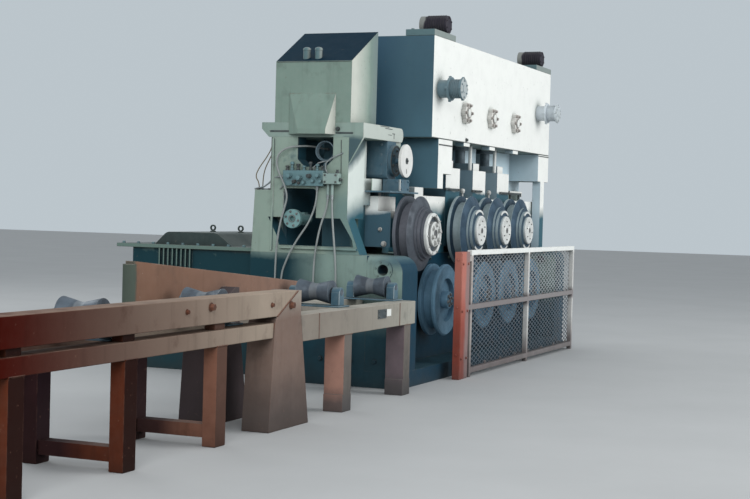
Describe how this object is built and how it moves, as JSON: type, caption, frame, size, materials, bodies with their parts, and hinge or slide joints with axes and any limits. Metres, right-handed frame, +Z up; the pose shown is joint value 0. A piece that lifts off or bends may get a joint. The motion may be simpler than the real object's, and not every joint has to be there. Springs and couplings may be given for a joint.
{
  "type": "tube straightening machine",
  "caption": "Roll straightener for steel tube: overhung grooved rolls in screw-set chocks under a box beam, an arched entry stand with a head box, a roller table, a mesh guard and a reducer.",
  "frame": {"origin": "on the floor under the pass line, at the entry end of the bed, on the bed's underside", "axes": "+X along the pass line from the entry table to the exit, +Y to the drive side, +Z up"},
  "size_m": [11.73, 3.355, 3.5969],
  "materials": {
    "machine_green": "worn satin paint",
    "dark_green": "oily dark paint",
    "motor_red": "worn paint",
    "table_brown": "worn red-brown primer",
    "guard_orange": "worn paint",
    "guard_pale": "dusty paint",
    "roll_steel": "oxidised rolled steel",
    "bright_steel": "machined",
    "wheel_white": "white paint",
    "hose_rubber": "dusty hose"
  },
  "bodies": {
    "machine": {"balance_rods": "bright_steel", "beam_covers": "dark_green", "bed": "machine_green", "bed_end_blocks": "machine_green", "cross_head": "machine_green", "entry_stand": "machine_green", "face_motors": "dark_green", "guard_mesh": "guard_pale", "guard_post": "guard_orange", "guard_rails": "guard_pale", "guard_stiles": "guard_pale", "guide_board": "table_brown", "head_box": "machine_green", "head_hood": "machine_green", "hose_cross": "hose_rubber", "hose_long": "hose_rubber", "hose_middle": "hose_rubber", "hose_near": "hose_rubber", "hose_shoulder_1": "hose_rubber", "hose_shoulder_2": "hose_rubber", "ledge": "machine_green", "lower_bearings": "dark_green", "main_beam": "machine_green", "main_housing": "machine_green", "manifold": "machine_green", "reducer_body": "dark_green", "reducer_cover": "dark_green", "roller_bearings": "bright_steel", "roller_plates": "table_brown", "roof_motors": "motor_red", "roof_plates": "machine_green", "screwdown_case": "dark_green", "screws": "bright_steel", "shaft_cover": "machine_green", "short_frame": "table_brown", "short_legs": "table_brown", "table_beams": "table_brown", "table_legs": "table_brown", "table_lower_beams": "table_brown", "table_posts": "table_brown", "table_spacers": "table_brown", "table_ties": "table_brown"},
    "chock_1": {"chock_1": "machine_green"},
    "chock_2": {"chock_2": "machine_green"},
    "chock_3": {"chock_3": "machine_green"},
    "chock_4": {"chock_4": "machine_green"},
    "handwheel": {"handwheel": "wheel_white"},
    "lower_roll_1": {"lower_roll_1": "roll_steel"},
    "lower_roll_2": {"lower_roll_2": "roll_steel"},
    "lower_roll_3": {"lower_roll_3": "roll_steel"},
    "lower_roll_4": {"lower_roll_4": "roll_steel"},
    "upper_roll_1": {"upper_roll_1": "roll_steel"},
    "upper_roll_2": {"upper_roll_2": "roll_steel"},
    "upper_roll_3": {"upper_roll_3": "roll_steel"},
    "upper_roll_4": {"upper_roll_4": "roll_steel"},
    "v_roller_1": {"v_roller_1": "roll_steel"},
    "v_roller_2": {"v_roller_2": "roll_steel"},
    "v_roller_3": {"v_roller_3": "roll_steel"},
    "v_roller_4": {"v_roller_4": "roll_steel"},
    "v_roller_5": {"v_roller_5": "roll_steel"}
  },
  "joints": [
    {"name": "chock_1_lift", "type": "slide", "parent": "machine", "child": "chock_1", "axis": [0, 0, 1], "range_m": [-0.05, 0.03]},
    {"name": "chock_2_lift", "type": "slide", "parent": "machine", "child": "chock_2", "axis": [0, 0, 1], "range_m": [-0.05, 0.04]},
    {"name": "chock_3_lift", "type": "slide", "parent": "machine", "child": "chock_3", "axis": [0, 0, 1], "range_m": [-0.05, 0.04]},
    {"name": "chock_4_lift", "type": "slide", "parent": "machine", "child": "chock_4", "axis": [0, 0, 1], "range_m": [-0.05, 0.04]},
    {"name": "upper_roll_1_spin", "type": "hinge", "parent": "chock_1", "child": "upper_roll_1", "pos_m": [0.76, 0, 1.405], "axis": [0, 1, 0], "continuous": true},
    {"name": "upper_roll_2_spin", "type": "hinge", "parent": "chock_2", "child": "upper_roll_2", "pos_m": [2.25, 0, 1.435], "axis": [0, 1, 0], "continuous": true},
    {"name": "upper_roll_3_spin", "type": "hinge", "parent": "chock_3", "child": "upper_roll_3", "pos_m": [3.105, 0, 1.435], "axis": [0, 1, 0], "continuous": true},
    {"name": "upper_roll_4_spin", "type": "hinge", "parent": "chock_4", "child": "upper_roll_4", "pos_m": [3.96, 0, 1.435], "axis": [0, 1, 0], "continuous": true},
    {"name": "lower_roll_1_spin", "type": "hinge", "parent": "machine", "child": "lower_roll_1", "pos_m": [1.47, 0, 0.745], "axis": [0, 1, 0], "continuous": true},
    {"name": "lower_roll_2_spin", "type": "hinge", "parent": "machine", "child": "lower_roll_2", "pos_m": [2.6775, 0, 0.745], "axis": [0, 1, 0], "continuous": true},
    {"name": "lower_roll_3_spin", "type": "hinge", "parent": "machine", "child": "lower_roll_3", "pos_m": [3.5325, 0, 0.745], "axis": [0, 1, 0], "continuous": true},
    {"name": "lower_roll_4_spin", "type": "hinge", "parent": "machine", "child": "lower_roll_4", "pos_m": [4.3875, 0, 0.745], "axis": [0, 1, 0], "continuous": true},
    {"name": "v_roller_1_spin", "type": "hinge", "parent": "machine", "child": "v_roller_1", "pos_m": [-6.11, 0, 0.938], "axis": [0, 1, 0], "continuous": true},
    {"name": "v_roller_2_spin", "type": "hinge", "parent": "machine", "child": "v_roller_2", "pos_m": [-4.8, 0, 0.938], "axis": [0, 1, 0], "continuous": true},
    {"name": "v_roller_3_spin", "type": "hinge", "parent": "machine", "child": "v_roller_3", "pos_m": [-3.29, 0, 0.938], "axis": [0, 1, 0], "continuous": true},
    {"name": "v_roller_4_spin", "type": "hinge", "parent": "machine", "child": "v_roller_4", "pos_m": [-1.43, 0, 0.938], "axis": [0, 1, 0], "continuous": true},
    {"name": "v_roller_5_spin", "type": "hinge", "parent": "machine", "child": "v_roller_5", "pos_m": [-0.245, 0, 0.938], "axis": [0, 1, 0], "continuous": true},
    {"name": "handwheel_turn", "type": "hinge", "parent": "machine", "child": "handwheel", "pos_m": [0.76, 0.108, 2.092], "axis": [0, 1, 0], "continuous": true}
  ]
}
